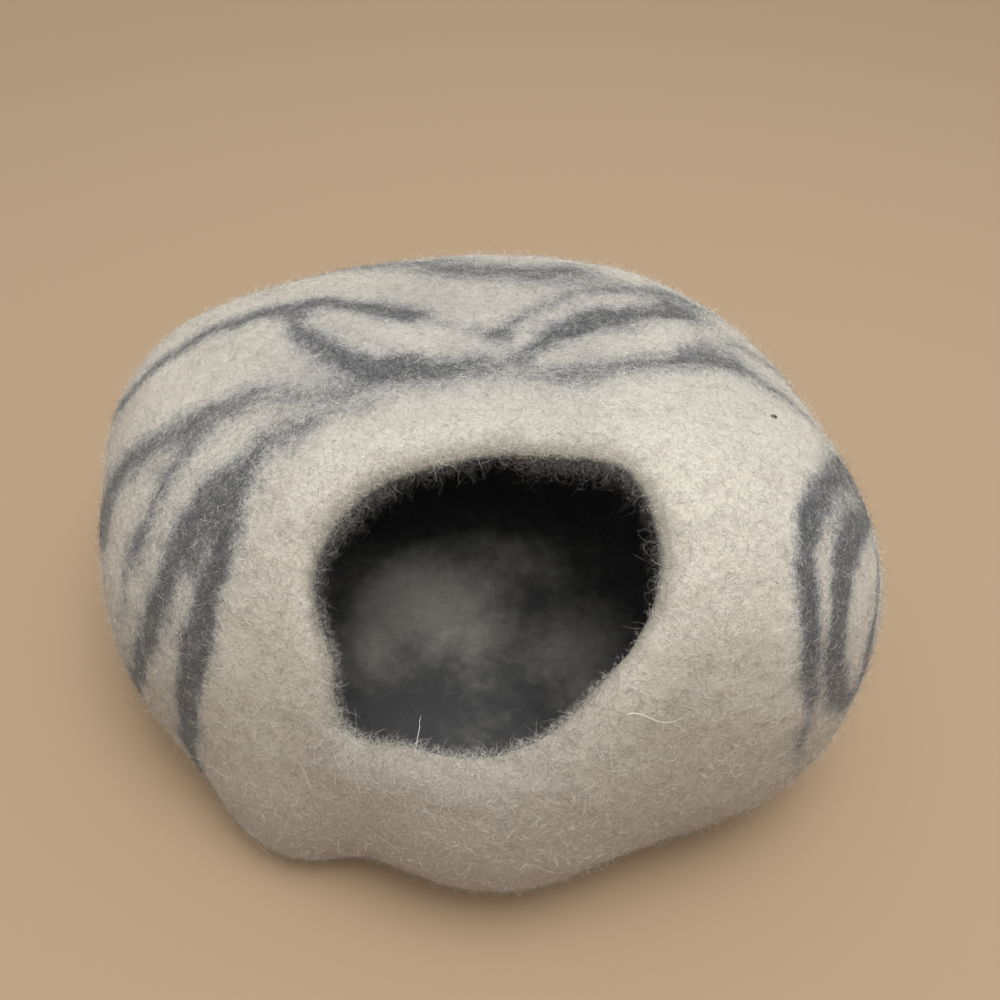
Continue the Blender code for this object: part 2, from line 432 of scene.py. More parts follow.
def grey_at(points, rows):
    """How much grey wool lies at each point, 0 in the cream body and 1 in the dark middle of a
    strand, and the course of the strand that is nearest for its breadth."""
    left_out = np.ones(len(points))
    course = np.zeros((len(points), 3))
    closest = np.full(len(points), 9.0)
    # the strands were pulled about by hand, so their edges wander
    drift = np.stack([wander(points, 22, s) for s in (1, 2, 3)], 1) * 0.0022
    drift += np.stack([wander(points, 70, s) for s in (4, 5, 6)], 1) * 0.0008
    moved = points + drift
    for number in range(len(STRANDS)):
        own = rows[rows[:, 5] == number]
        low = own[:, :3].min(0) - 0.05
        high = own[:, :3].max(0) + 0.05
        near = np.flatnonzero(((moved > low) & (moved < high)).all(1))
        if not len(near):
            continue
        gaps = np.linalg.norm(moved[near, None, :] - own[None, :, :3], axis=2)
        best = gaps.argmin(1)
        gap = gaps[np.arange(len(near)), best]
        along = own[best, 6]
        aside = unit(np.cross(own[best, 7:10], points[near] - np.array(HEART)))
        across = ((moved[near] - own[best, :3]) * aside).sum(1)
        # locks of fleece lie side by side in a strand, some darker than others
        locks = np.zeros(len(near))
        for lock, size in enumerate((0.0062, 0.0085, 0.013)):
            phase = 1.7 * number + 2.1 * lock
            locks += np.sin(tau * across / size + 1.6 * np.sin(along * 31 + phase) + phase)
            locks += np.sin(tau * along / 0.034 + 2.2 * across / size + 3 * phase) * 0.6
        share = gap / (own[best, 3] * 1.4)
        fade = np.exp(-(share ** 1.7))
        strength = own[best, 4] * fade * (1 + LOCK_SPREAD * locks / 3)
        left_out[near] *= 1 - np.clip(strength, 0, 0.98)
        nearer = share < closest[near]
        closest[near[nearer]] = share[nearer]
        course[near[nearer]] = own[best[nearer], 7:10]
    return 1 - left_out, course


def mesh_arrays(mesh):
    """Points and normals of a mesh's vertices, as arrays."""
    found = []
    for field in ("co", "normal"):
        values = np.empty(len(mesh.vertices) * 3)
        mesh.vertices.foreach_get(field, values)
        found.append(values.reshape(-1, 3))
    return found


def surface(mesh):
    """A mesh's faces, ready for casting rays at them."""
    points, _ = mesh_arrays(mesh)
    return BVHTree.FromPolygons([tuple(p) for p in points], [tuple(f.vertices) for f in mesh.polygons])


def store(mesh, name, values):
    """Writes one number or one vector for each vertex of a mesh."""
    kind, field = ("FLOAT", "value") if values.ndim == 1 else ("FLOAT_VECTOR", "vector")
    layer = mesh.attributes.new(name, kind, "POINT")
    layer.data.foreach_set(field, values.astype(np.float32).ravel())


def recall(mesh, name):
    """Reads one number or one vector for each vertex of a mesh."""
    layer = mesh.attributes[name]
    field, width = ("vector", 3) if layer.data_type == "FLOAT_VECTOR" else ("value", 1)
    values = np.empty(len(mesh.vertices) * width, np.float32)
    layer.data.foreach_get(field, values)
    return values.reshape(-1, 3) if width == 3 else values


def smooth(values, low, high):
    """Smooth step from 0 at low to 1 at high."""
    share = np.clip((values - low) / (high - low), 0, 1)
    return share * share * (3 - 2 * share)


def near_mouth(points):
    """True where a point lies round the mouth."""
    return np.linalg.norm(points - np.array(MOUTH_MIDDLE), axis=1) < MOUTH_REACH


def lip_share(points):
    """1 on the low front lip of the mouth, 0 at its top."""
    return 1 - smooth(points[:, 2], 0.17, 0.215)


def outward_share(points, normals):
    """How far each normal turns away from the heart: 1 outwards, -1 on the inside, 0 at an edge."""
    return (unit(points - np.array(HEART)) * normals).sum(1)


def rim_gaps(points, outward):
    """The numbers of the points round the mouth, and how far each is from its rolled edge."""
    round_mouth = near_mouth(points)
    edge = points[round_mouth & (np.abs(outward) < 0.25)]
    edge = edge[np.linspace(0, len(edge) - 1, min(len(edge), 1500)).astype(int)]
    own = np.flatnonzero(round_mouth)
    return own, np.linalg.norm(points[own, None, :] - edge[None, :, :], axis=2).min(1)


def draw_back_rim(points, normals):
    """Draws the rolled edge of the mouth back by the depth of its fuzz, and more at its low left
    corner."""
    own, gap = rim_gaps(points, outward_share(points, normals))
    axis = np.array((MOUTH_MIDDLE - HEART).normalized())
    away = points[own] - np.array(MOUTH_MIDDLE)
    away = unit(away - (away @ axis)[:, None] * axis)
    corner = np.linalg.norm(points[own] - np.array(LIP_CORNER), axis=1)
    even = RIM_FUZZ_DEPTH * (1 - 0.6 * smooth(-points[own, 0], 0.03, 0.065))
    reach = (even + 0.005 * np.exp(-(corner / 0.022) ** 2)) * np.exp(-(gap / 0.02) ** 2)
    points[own] += away * reach[:, None]


def rim_shade(points, outward):
    """How much shade is painted over the rolled edge of the mouth at each point: partly the dark inner
    wool creeping out over it, partly painted shade where the edge turns down away from the light. Most at
    its back, least over its front lip."""
    own, gap = rim_gaps(points, outward)
    shade = np.zeros(len(points))
    back = smooth(points[own, 1], -0.2, -0.12)
    breadth = 0.0035 + 0.0038 * smooth(points[own, 2], 0.2, 0.235)
    shade[own] = np.exp(-(gap / breadth) ** 1.5) * (0.25 + 0.6 * back)
    return shade


def mark_wool(mesh):
    """Stores on the felt where the grey strands and the dark inner wool lie, the painted shade on the
    mouth's rolled edge and the strands' course.
    """
    points, normals = mesh_arrays(mesh)
    outward = outward_share(points, normals)
    inner = smooth(-outward - 0.12 * lip_share(points), 0.00, 0.45)
    grey, course = grey_at(points, strand_points(surface(mesh)))
    store(mesh, GREY, grey * (1 - inner))
    store(mesh, INNER, inner)
    store(mesh, RIM, rim_shade(points, outward))
    store(mesh, COURSE, course)


# --- nap


def scatter(mesh, count, weigh, rng):
    """Places on a mesh picked at random by area times weigh(middles, held): their points, their
    normals and the values that the felt holds there."""
    mesh.calc_loop_triangles()
    corners = np.empty(len(mesh.loop_triangles) * 3, np.int32)
    mesh.loop_triangles.foreach_get("vertices", corners)
    corners = corners.reshape(-1, 3)
    points, normals = mesh_arrays(mesh)
    a, b, c = (points[corners[:, k]] for k in range(3))
    area = np.linalg.norm(np.cross(b - a, c - a), axis=1) / 2
    middles = (a + b + c) / 3
    held = {name: recall(mesh, name)[corners].mean(1) for name in (GREY, INNER, RIM, COURSE)}
    chance = area * weigh(middles, held)
    picked = rng.choice(len(corners), count, p=chance / chance.sum())
    u, v = rng.random((2, count))
    over = u + v > 1
    u[over], v[over] = 1 - u[over], 1 - v[over]
    shares = np.stack((1 - u - v, u, v), 1)[:, :, None]
    roots = (points[corners[picked]] * shares).sum(1)
    ups = unit((normals[corners[picked]] * shares).sum(1))
    return roots, ups, {name: value[picked] for name, value in held.items()}


def across_of(ups):
    """Two directions square to each normal and to each other."""
    guide = np.where(np.abs(ups[:, 2:]) < 0.9, [[0.0, 0.0, 1.0]], [[1.0, 0.0, 0.0]])
    first = unit(np.cross(guide, ups))
    return first, np.cross(ups, first)


def fibre_paths(roots, ups, length, lift, bend, steps, rng, heading=None):
    """Middle lines of fibres, n by steps + 1 by 3: each leaves its root along the felt, winds by
    bend (radians) over its length and rises to its lift."""
    count = len(roots)
    first, second = across_of(ups)
    turn = rng.uniform(0, tau, count) if heading is None else heading
    share = np.linspace(0, 1, steps + 1)
    angle = turn[:, None] + bend[:, None] * share[None, :]
    step = (length / steps)[:, None]
    ahead = np.cumsum(np.cos(angle) * step, 1) - np.cos(angle) * step
    aside = np.cumsum(np.sin(angle) * step, 1) - np.sin(angle) * step
    rise = np.sin(share[None, :] * rng.uniform(0.9, 2.8, count)[:, None]) * lift[:, None]
    rise -= 0.0003 * (1 - share)[None, :]
    return (roots[:, None, :] + ahead[..., None] * first[:, None, :]
            + aside[..., None] * second[:, None, :] + rise[..., None] * ups[:, None, :])


def curl_paths(roots, ups, length, turns, steps, rng):
    """Middle lines of loose curls, n by steps + 1 by 3: each leaves the felt, winds round an axis
    that drifts as it goes, and droops a little."""
    count = len(roots)
    course = unit(ups + rng.normal(0, 0.7, (count, 3)))
    axis = unit(np.cross(course, rng.normal(size=(count, 3))))
    angle = (turns * tau / steps)[:, None]
    at = roots - ups * 0.0005
    found = [at]
    for _ in range(steps):
        side = np.cross(axis, course)
        course = unit(course * np.cos(angle) + side * np.sin(angle))
        axis = axis + rng.normal(0, 0.22, (count, 3))
        axis = unit(axis - course * (axis * course).sum(1)[:, None])
        at = at + (course + 0.12 * ups + (0, 0, -0.14)) * (length / steps)[:, None]
        found.append(at)
    return np.stack(found, 1)


def ribbons(paths, ups, breadth, rng, lean=1.1):
    """Vertices and triangles of thin tapering ribbons along the paths, each turned a little about
    its own length. Returns vertices, triangles and triangles per ribbon."""
    count, points = paths.shape[:2]
    ahead = np.gradient(paths, axis=1)
    side = np.cross(ups[:, None, :], ahead)
    side /= np.linalg.norm(side, axis=2)[..., None] + 1e-12
    roll = rng.uniform(-lean, lean, count)[:, None, None]
    side = np.cos(roll) * side + np.sin(roll) * ups[:, None, :]
    taper = np.linspace(1.0, 0.35, points)[None, :, None]
    half = breadth[:, None, None] / 2 * taper * side
    left, right = paths[:, :-1] - half[:, :-1], paths[:, :-1] + half[:, :-1]
    own = 2 * points - 1
    verts = np.empty((count, own, 3))
    verts[:, 0:own - 1:2] = left
    verts[:, 1:own - 1:2] = right
    verts[:, own - 1] = paths[:, -1]
    pattern = []
    for k in range(points - 2):
        pattern += [(2 * k, 2 * k + 1, 2 * k + 3), (2 * k, 2 * k + 3, 2 * k + 2)]
    pattern.append((own - 3, own - 2, own - 1))
    tris = np.array(pattern)[None] + (np.arange(count) * own)[:, None, None]
    return verts.reshape(-1, 3), tris.reshape(-1, 3), len(pattern)


def build_fibres(name, parts, tones, slots):
    """One piece of many fibres, from what ribbons gives and a tone's number for each fibre."""
    verts, tris, each = parts
    verts[:, 2] = np.maximum(verts[:, 2], 0.0002)
    mesh = bpy.data.meshes.new(name)
    mesh.vertices.add(len(verts))
    mesh.vertices.foreach_set("co", verts.ravel())
    mesh.loops.add(len(tris) * 3)
    mesh.loops.foreach_set("vertex_index", tris.ravel().astype(np.int32))
    mesh.polygons.add(len(tris))
    mesh.polygons.foreach_set("loop_start", np.arange(0, len(tris) * 3, 3, dtype=np.int32))
    mesh.polygons.foreach_set("material_index", np.repeat(tones, each).astype(np.int32))
    for material in slots:
        mesh.materials.append(material)
    mesh.update(calc_edges=True)
    piece = bpy.data.objects.new(name, mesh)
    bpy.context.scene.collection.objects.link(piece)
    make_active(piece)
    bpy.ops.object.shade_smooth()
    finish_piece(piece)


def fibre_materials(names):
    """The plain wool colours that single fibres have, made once and shared."""
    settings = bpy.context.scene.cat_cave_wool
    found = []
    for name in names:
        material = bpy.data.materials.get(name)
        if material is None:
            material, _ = new_material(name, Base_Color=(*getattr(settings, name), 1.0), Roughness=0.75,
                                       Specular_IOR_Level=0.25, Sheen_Weight=0.3, Sheen_Roughness=0.5)
        found.append(material)
    return found


def felt_mesh():
    """The finished felt wall's mesh, which every nap is laid on."""
    shell = bpy.data.objects.get("felt_shell")
    if shell is None:
        raise RuntimeError("make the felt wall first")
    return shell.data


# --- settings


def colour(name, description, *default):
    """A colour among the settings."""
    return FloatVectorProperty(name=name, description=description, subtype="COLOR", size=3,
                               min=0, max=1, default=default)


def measure(name, description, low, high, default, unit="LENGTH"):
    """A measure among the settings."""
    return FloatProperty(name=name, description=description, unit=unit, min=low, max=high,
                         default=default)


class CatCaveWool(bpy.types.PropertyGroup):
    """Colours of the wool and sizes of its surface."""

    cream: colour("Cream", "Pale fleece of the body", 0.745, 0.705, 0.622)
    oatmeal: colour("Oatmeal", "Darker flecks and clouds in the pale fleece", 0.485, 0.43, 0.374)
    pewter: colour("Pewter", "Thin veil of grey fleece at a stripe's edge", 0.315, 0.322, 0.325)
    slate: colour("Slate", "Dark middle of a stripe", 0.064, 0.069, 0.08)
    lining: colour("Inner wool", "Dark wool of the inside", 0.116, 0.119, 0.126)
    # painted light: colour of the lit patches on the inner floor
    lining_painted_light: colour("Inner patches", "Paler patches on the inside", 0.78, 0.765, 0.7)
    kemp_fibre: colour("Kemp", "Coarse white stray hairs", 0.96, 0.945, 0.89)
    white_fibre: colour("White fibre", "Brightest single fibres", 0.9, 0.88, 0.82)
    ivory_fibre: colour("Ivory fibre", "Common fibres of the body", 0.76, 0.72, 0.64)
    taupe_fibre: colour("Taupe fibre", "Brownish fibres in the body", 0.33, 0.295, 0.25)
    ash_fibre: colour("Ash fibre", "Paler fibres of the stripes", 0.3, 0.305, 0.31)
    slate_fibre: colour("Slate fibre", "Grey fibres of the stripes", 0.11, 0.115, 0.125)
    soot_fibre: colour("Soot fibre", "Darkest fibres", 0.035, 0.036, 0.04)
    lump_height: measure("Lumps", "Height of the felt's soft lumps", 0, 0.005, 0.0016)
    nap_length: measure("Nap length", "Usual length of a loose fibre", 0.001, 0.02, 0.0065)
    nap_breadth: measure("Fibre breadth", "Breadth of a fibre or small lock", 0.00005, 0.001, 0.00013)
    nap_count: IntProperty(name="Nap fibres", description="Loose fibres on the outside",
                           min=1000, max=160000, default=120000)


class CatCaveStudio(bpy.types.PropertyGroup):
    """The floor, the light and the camera."""

    floor_colour: colour("Floor", "Colour of the plain floor", 0.48, 0.35, 0.23)
    sky_strength: measure("Room light", "Strength of the even light all round", 0, 5, 1.1, "NONE")
    window_power: measure("Window light", "Power of the soft light overhead", 0, 500, 21.5, "POWER")
    lamp_power: measure("Mouth lamp", "Power of the narrow light into the mouth", 0, 500, 51.0, "POWER")
    camera_height: measure("Camera height", "Height of the camera over the floor", 0.2, 2, 0.57)
    camera_down: measure("Camera tilt", "Its turn below level", 0, 1.57, radians(46.776), "ROTATION")
    camera_roll: measure("Camera roll", "How far the camera leans", -0.5, 0.5, radians(2.938), "ROTATION")
    camera_lens: measure("Lens", "Focal length in millimetres", 10, 200, 32.757, "NONE")


# --- the studio


def light_room(tree, strength):
    """Soft light from a bright ceiling, dim near the level of the floor. The camera sees it plain."""
    way = add(tree, "TexCoord").outputs["Generated"]
    height = add(tree, "SeparateXYZ", None, Vector=way).outputs["Z"]
    glow = ease(tree, height, 0.24, 0.98, 0.05 * strength, strength)
    seen = add(tree, "LightPath").outputs["Is Camera Ray"]
    shown = maths(tree, "MULTIPLY_ADD", seen, maths(tree, "SUBTRACT", 0.62, glow), glow)
    sky = tree.nodes["Background"]
    sky.inputs["Color"].default_value = (1.0, 0.985, 0.965, 1.0)
    tree.links.new(shown, sky.inputs["Strength"])


def add_light(kind, name, place, away, power, **settings):
    """A light that shines against the direction away."""
    turned = away.to_track_quat("Z", "Y").to_euler()
    bpy.ops.object.light_add(type=kind, location=place, rotation=turned)
    light = bpy.context.object
    light.name = name
    light.data.energy = power
    light.data.color = LAMP_TINT
    for key, value in settings.items():
        setattr(light.data, key, value)


class CATCAVE_OT_studio(bpy.types.Operator):
    """Adds the plain floor, the soft light and the camera"""

    bl_idname = "cat_cave.studio"
    bl_label = "Studio"

    def execute(self, context):
        settings = context.scene.cat_cave_studio
        deselect_all()
        bpy.ops.mesh.primitive_circle_add(vertices=96, radius=FLOOR_RADIUS, fill_type="NGON")
        floor = context.object
        floor.name = floor.data.name = "floor"
        material, _ = new_material("floor_paint", Base_Color=(*settings.floor_colour, 1.0), Roughness=0.85,
                                   Specular_IOR_Level=0.2)
        floor.data.materials.append(material)

        world = bpy.data.worlds.new("studio_room")
        context.scene.world = world
        world.use_nodes = True
        light_room(world.node_tree, settings.sky_strength)

        add_light("AREA", "window_light", WINDOW_PLACE, WINDOW_PLACE - HEART, settings.window_power,
                  shape="DISK", size=WINDOW_BREADTH)
        add_light("SPOT", "mouth_lamp", MOUTH_MIDDLE + LAMP_RAY * LAMP_DISTANCE, LAMP_RAY,
                  settings.lamp_power, spot_size=LAMP_SPREAD, spot_blend=1.0, shadow_soft_size=LAMP_RADIUS)

        tilt = Matrix.Rotation(radians(90) - settings.camera_down, 3, "X")
        turned = (tilt @ Matrix.Rotation(settings.camera_roll, 3, "Z")).to_euler()
        bpy.ops.object.camera_add(location=(*CAMERA_PLACE, settings.camera_height), rotation=turned)
        camera = context.object
        camera.name = "studio_camera"
        camera.data.sensor_width = 36.0
        camera.data.lens = settings.camera_lens
        camera.data.clip_start = 0.01
        context.scene.camera = camera
        context.scene.view_settings.view_transform = "Standard"
        return {"FINISHED"}


# --- the felt wall


def felt_material():
    """Matted wool: cream with oatmeal clouds and flecks, grey strands, dark inner wool, winding fibres in
    colour and relief; with painted shade on the mouth's edge, the low front and the top of the inside, and
    painted pools of light on the inner floor."""
    settings = bpy.context.scene.cat_cave_wool
    material, shader = new_material(
        "marbled_felt", Roughness=0.95, Specular_IOR_Level=0.15, Sheen_Weight=0.25, Sheen_Roughness=0.6,
        Sheen_Tint=(0.95, 0.92, 0.86, 1.0))
    tree = material.node_tree
    place = add(tree, "TexCoord").outputs["Object"]

    grey, inner, rim = (held_by_felt(tree, name) for name in (GREY, INNER, RIM))

    clouds = grain(tree, place, 16, 3.0, 0.55)
    tufts = grain(tree, place, 95, 3.0, 0.6, 0.4)
    specks = grain(tree, place, 330, 3.0, 0.65, 0.5)
    crumbs = grain(tree, place, 900, 2.0, 0.6)

    # cream body: clouds of oatmeal, then mottling down to single tufts; more oatmeal towards the floor and
    # on the front below the mouth is painted shade
    cloud_share = ease(tree, clouds, 0.42, 0.74, 0.0, 0.32)
    tuft_share = ease(tree, tufts, 0.42, 0.8, 0.0, 0.5)
    speck_share = ease(tree, specks, 0.45, 0.8, 0.0, 0.6)
    aside, behind, up = add(tree, "SeparateXYZ", None, place).outputs
    # painted shade: more oatmeal towards the floor, where the wall turns away from the light overhead
    low_painted_shade = ease(tree, up, 0.01, 0.235, 0.9, 0.0)
    oatmeal = cloud_share
    for more in (tuft_share, speck_share, low_painted_shade, patch_share(tree, place, LIP_SHADE)):
        oatmeal = maths(tree, "ADD", oatmeal, more)
    for patch in LESS_OATMEAL:
        oatmeal = maths(tree, "SUBTRACT", oatmeal, patch_share(tree, place, patch))
    oatmeal = maths(tree, "ADD", oatmeal, 0.0, clamp=True)   # keeps it between 0 and 1
    body = blend(tree, oatmeal, (*settings.cream, 1), (*settings.oatmeal, 1))

    # a thin grey haze over the crown
    haze = clouds
    for share in (ease(tree, up, 0.215, 0.262, 0.0, 0.9), ease(tree, aside, 0.05, 0.12, 1.0, 0.45),
                  ease(tree, behind, -0.085, -0.02, 0.15, 1.0)):
        haze = maths(tree, "MULTIPLY", haze, share)
    body = blend(tree, haze, body, (*settings.pewter, 1))

    # grey strands, broken up by tufts of the cream body
    course = held_by_felt(tree, COURSE, "Vector")
    carded = streaks(tree, place, course, 460, 0.0012)
    ragged = stir(tree, grey, (tufts, 0.4), (specks, 0.75), (crumbs, 0.9))
    ragged = maths(tree, "MULTIPLY_ADD", carded, 0.35, ragged)
    ragged = maths(tree, "MULTIPLY", ragged, ease(tree, grey, 0.02, 0.2))
    veil = ease(tree, ragged, 0.08, 0.86)
    heart = ease(tree, ragged, 0.48, 1.12)
    body = blend(tree, veil, body, (*settings.pewter, 1))
    body = blend(tree, heart, body, (*settings.slate, 1))

    # painted shade on the rolled edge of the mouth, tan then near black, partly the dark inner wool
    # creeping out over it
    rim_shade_and_creep = stir(tree, rim, (tufts, 0.25), (specks, 0.3))
    body = blend(tree, ease(tree, rim_shade_and_creep, 0.02, 0.5), body, (0.44, 0.41, 0.345, 1))
    body = blend(tree, ease(tree, rim_shade_and_creep, 0.55, 0.95), body, (0.1, 0.096, 0.092, 1))

    # inside: dark wool with painted pools of light where the light through the mouth falls on its floor
    pale = 0.0
    for patch in PAINTED_LIGHT_PATCHES:
        pale = maths(tree, "MAXIMUM", pale, patch_share(tree, place, patch))
    mottle = stir(tree, pale, (clouds, 0.6), (tufts, 0.5))
    lining = blend(tree, ease(tree, mottle, 0.15, 1.05),
                           (*settings.lining, 1), (*settings.lining_painted_light, 1))
    # painted shade: the inner wool turns near black towards the top of the inside, where the ceiling lies
    # in shade
    lining = blend(tree, ease(tree, up, 0.16, 0.205, 0.0, 0.8), lining, (0.018, 0.018, 0.02, 1))
    inner_share = ease(tree, stir(tree, inner, (tufts, 0.5)), 0.25, 0.75)
    felt = blend(tree, inner_share, body, lining)

    # winding fibres, light ones and dark ones
    light = curls(tree, place, (150, 0.012, (3.1, 0.7, 1.9)), (230, 0.016, (0.4, 5.3, 2.2)))
    dark = curls(tree, place, (170, 0.011, (7.7, 2.8, 0.3)), (260, 0.014, (1.6, 8.4, 4.9)))
    outer_share = maths(tree, "SUBTRACT", 1.0, inner_share, clamp=True)
    dark_share = maths(tree, "MULTIPLY", dark, maths(tree, "MULTIPLY_ADD", veil, 0.3, 0.3))
    dark_share = maths(tree, "MULTIPLY", dark_share, outer_share)
    light_share = maths(tree, "MULTIPLY", light, maths(tree, "MULTIPLY_ADD", heart, -0.12, 0.44))
    light_share = maths(tree, "MULTIPLY", light_share, outer_share)
    felt = blend(tree, dark_share, felt, (0.23, 0.22, 0.21, 1))
    streak_light = blend(tree, heart, (0.86, 0.84, 0.78, 1), (0.5, 0.5, 0.49, 1))
    felt = blend(tree, light_share, felt, streak_light)
    tree.links.new(felt, shader.inputs["Base Color"])

    # relief
    height = maths(tree, "MULTIPLY", tufts, 0.55)
    for layer, share in ((specks, 0.35), (crumbs, 0.1), (light, 0.1), (dark, 0.06)):
        height = maths(tree, "MULTIPLY_ADD", layer, share, height)
    relief = add(tree, "Bump", None, Height=height, Strength=0.75, Distance=0.0028)
    tree.links.new(relief.outputs[0], shader.inputs["Normal"])
    return material


def displace(piece, name, size, height, detail):
    """Raises soft lumps of one size all over a piece."""
    texture = bpy.data.textures.new(name, "CLOUDS")
    texture.noise_scale = size
    texture.noise_depth = detail
    apply_modifier(piece, "DISPLACE", texture=texture, strength=height, texture_coords="LOCAL")


class CATCAVE_OT_felt_wall(bpy.types.Operator):
    """Makes the marbled felt wall on the solid's own shape"""

    bl_idname = "cat_cave.felt_wall"
    bl_label = "Felt wall"

    def execute(self, context):
        settings = context.scene.cat_cave_wool
        shell = bpy.data.objects.new("felt_shell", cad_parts[CAVE_NODE].data.copy())
        shell.data.name = "felt_shell"
        shell.data.materials.clear()
        context.scene.collection.objects.link(shell)
        make_active(shell)
        bpy.ops.object.mode_set(mode="EDIT")
        bpy.ops.mesh.select_all(action="SELECT")
        bpy.ops.mesh.remove_doubles(threshold=0.00002)
        bpy.ops.mesh.tris_convert_to_quads(face_threshold=radians(60), shape_threshold=radians(60))
        bpy.ops.object.mode_set(mode="OBJECT")
        bpy.ops.object.shade_smooth()
        apply_modifier(shell, "SUBSURF", levels=2)
        displace(shell, "wide_lumps", 0.03, settings.lump_height * 1.2, 1)
        displace(shell, "small_lumps", 0.009, settings.lump_height * 0.6, 2)
        mesh = shell.data
        points, normals = mesh_arrays(mesh)
        draw_back_rim(points, normals)
        points[:, 2] = np.maximum(points[:, 2], 0.0)
        mesh.vertices.foreach_set("co", points.ravel())
        mesh.update()
        mark_wool(mesh)
        mesh.materials.append(felt_material())
        finish_piece(shell)
        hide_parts(CAVE_NODE)
        return {"FINISHED"}


# --- loose wool


def outer_weight(middles, held):
    """Nap is even on the outside, thin under the sole and absent inside."""
    weight = 1.0 - smooth(held[INNER], 0.1, 0.6)
    weight[middles[:, 2] < SOLE_HEIGHT] *= 0.15
    return weight


def inner_weight(middles, held):
    """The inside has only a little nap."""
    return smooth(held[INNER], 0.3, 0.9)


def fuzz_weight(middles, held):
    """Fuzz stands on the mouth's rolled edge, most on its low lip and least at its upper right."""
    x, _, z = middles.T
    under = np.exp(-((held[INNER] - 0.3) / 0.22) ** 2)
    upper_right = smooth(x, 0.045, 0.07) * smooth(z, 0.17, 0.2)
    low = lip_share(middles)
    thick = (0.32 + low) * under + np.minimum(3 * held[RIM] * (1 + low), 1.2)
    return thick * (1 - 0.92 * upper_right) * near_mouth(middles)


def curl_weight(middles, held):
    """Curls hang under the mouth's top, most at its right, and at its left corner."""
    x, _, z = middles.T
    under = smooth(held[INNER], 0.1, 0.45) * (1 - smooth(held[INNER], 0.75, 1.0))
    top = smooth(z, 0.205, 0.235)
    right = smooth(x, 0.02, 0.05) - smooth(x, 0.07, 0.09)
    corner = smooth(-x, 0.025, 0.05) * smooth(z, 0.17, 0.2)
    return under * near_mouth(middles) * (0.012 + top * (0.2 + 0.55 * right) + 0.35 * corner)


def pick_tones(grey, cream, dark, rng):
    """A tone's number for each fibre, from the tones' shares in cream wool and in dark wool."""
    cream, dark = (np.cumsum(row) / np.sum(row) for row in (cream, dark))
    share = smooth(grey, 0.15, 0.95)[:, None]
    mixed = cream[None, :] * (1 - share) + dark[None, :] * share
    return (rng.random(len(grey))[:, None] > mixed).sum(1).clip(0, len(cream) - 1)


def combed(ups, held, rng):
    """Headings that follow a grey strand where there is one and are random elsewhere."""
    first, second = across_of(ups)
    course = held[COURSE]
    follow = np.arctan2((course * second).sum(1), (course * first).sum(1))
    follow += rng.normal(0, 0.45, len(ups)) + np.pi * rng.integers(0, 2, len(ups))
    free = rng.uniform(0, tau, len(ups))
    return np.where(rng.random(len(ups)) < np.clip(held[GREY], 0, 0.3), follow, free)


class CATCAVE_OT_nap(bpy.types.Operator):
    """Lays the loose fibres on the outside and the few on the inside"""

    bl_idname = "cat_cave.nap"
    bl_label = "Nap"

    def execute(self, context):
        settings = context.scene.cat_cave_wool
        mesh = felt_mesh()
        rng = np.random.default_rng(11)
        count = settings.nap_count
        roots, ups, held = scatter(mesh, count, outer_weight, rng)
        length = settings.nap_length * rng.lognormal(0, 0.35, count)
        loose = rng.random(count)
        lifts = [rng.uniform(low, high, count) for _, low, high in NAP_LIFTS]
        lift = np.select([loose < below for below, _, _ in NAP_LIFTS], lifts)
        bend = rng.normal(0, 2.9, count)
        paths = fibre_paths(roots, ups, length, lift, bend, NAP_STEPS, rng, combed(ups, held, rng))
        breadth = settings.nap_breadth * rng.uniform(0.7, 1.3, count)
        slots = fibre_materials(FIBRES)
        tones = pick_tones(held[GREY], CREAM_NAP, GREY_NAP, rng)
        turn = np.degrees(np.arctan2(roots[:, 0] - HEART.x, HEART.y - roots[:, 1]))
        order = np.argsort((turn + 45) % 360)
        for name, own in zip(("nap_front", "nap_right", "nap_back", "nap_left"), np.array_split(order, 4)):
            build_fibres(name, ribbons(paths[own], ups[own], breadth[own], rng), tones[own], slots)

        count = INSIDE_COUNT
        roots, ups, _ = scatter(mesh, count, inner_weight, rng)
        length = INSIDE_LENGTH * rng.lognormal(0, 0.35, count)
        lift = rng.uniform(0.0003, 0.0022, count)
        paths = fibre_paths(roots, ups, length, lift, rng.normal(0, 2.6, count), NAP_STEPS, rng)
        parts = ribbons(paths, ups, np.full(count, INSIDE_BREADTH), rng)
        build_fibres("nap_inside", parts, rng.choice(len(FIBRES), count, p=INSIDE_NAP), slots)
        return {"FINISHED"}


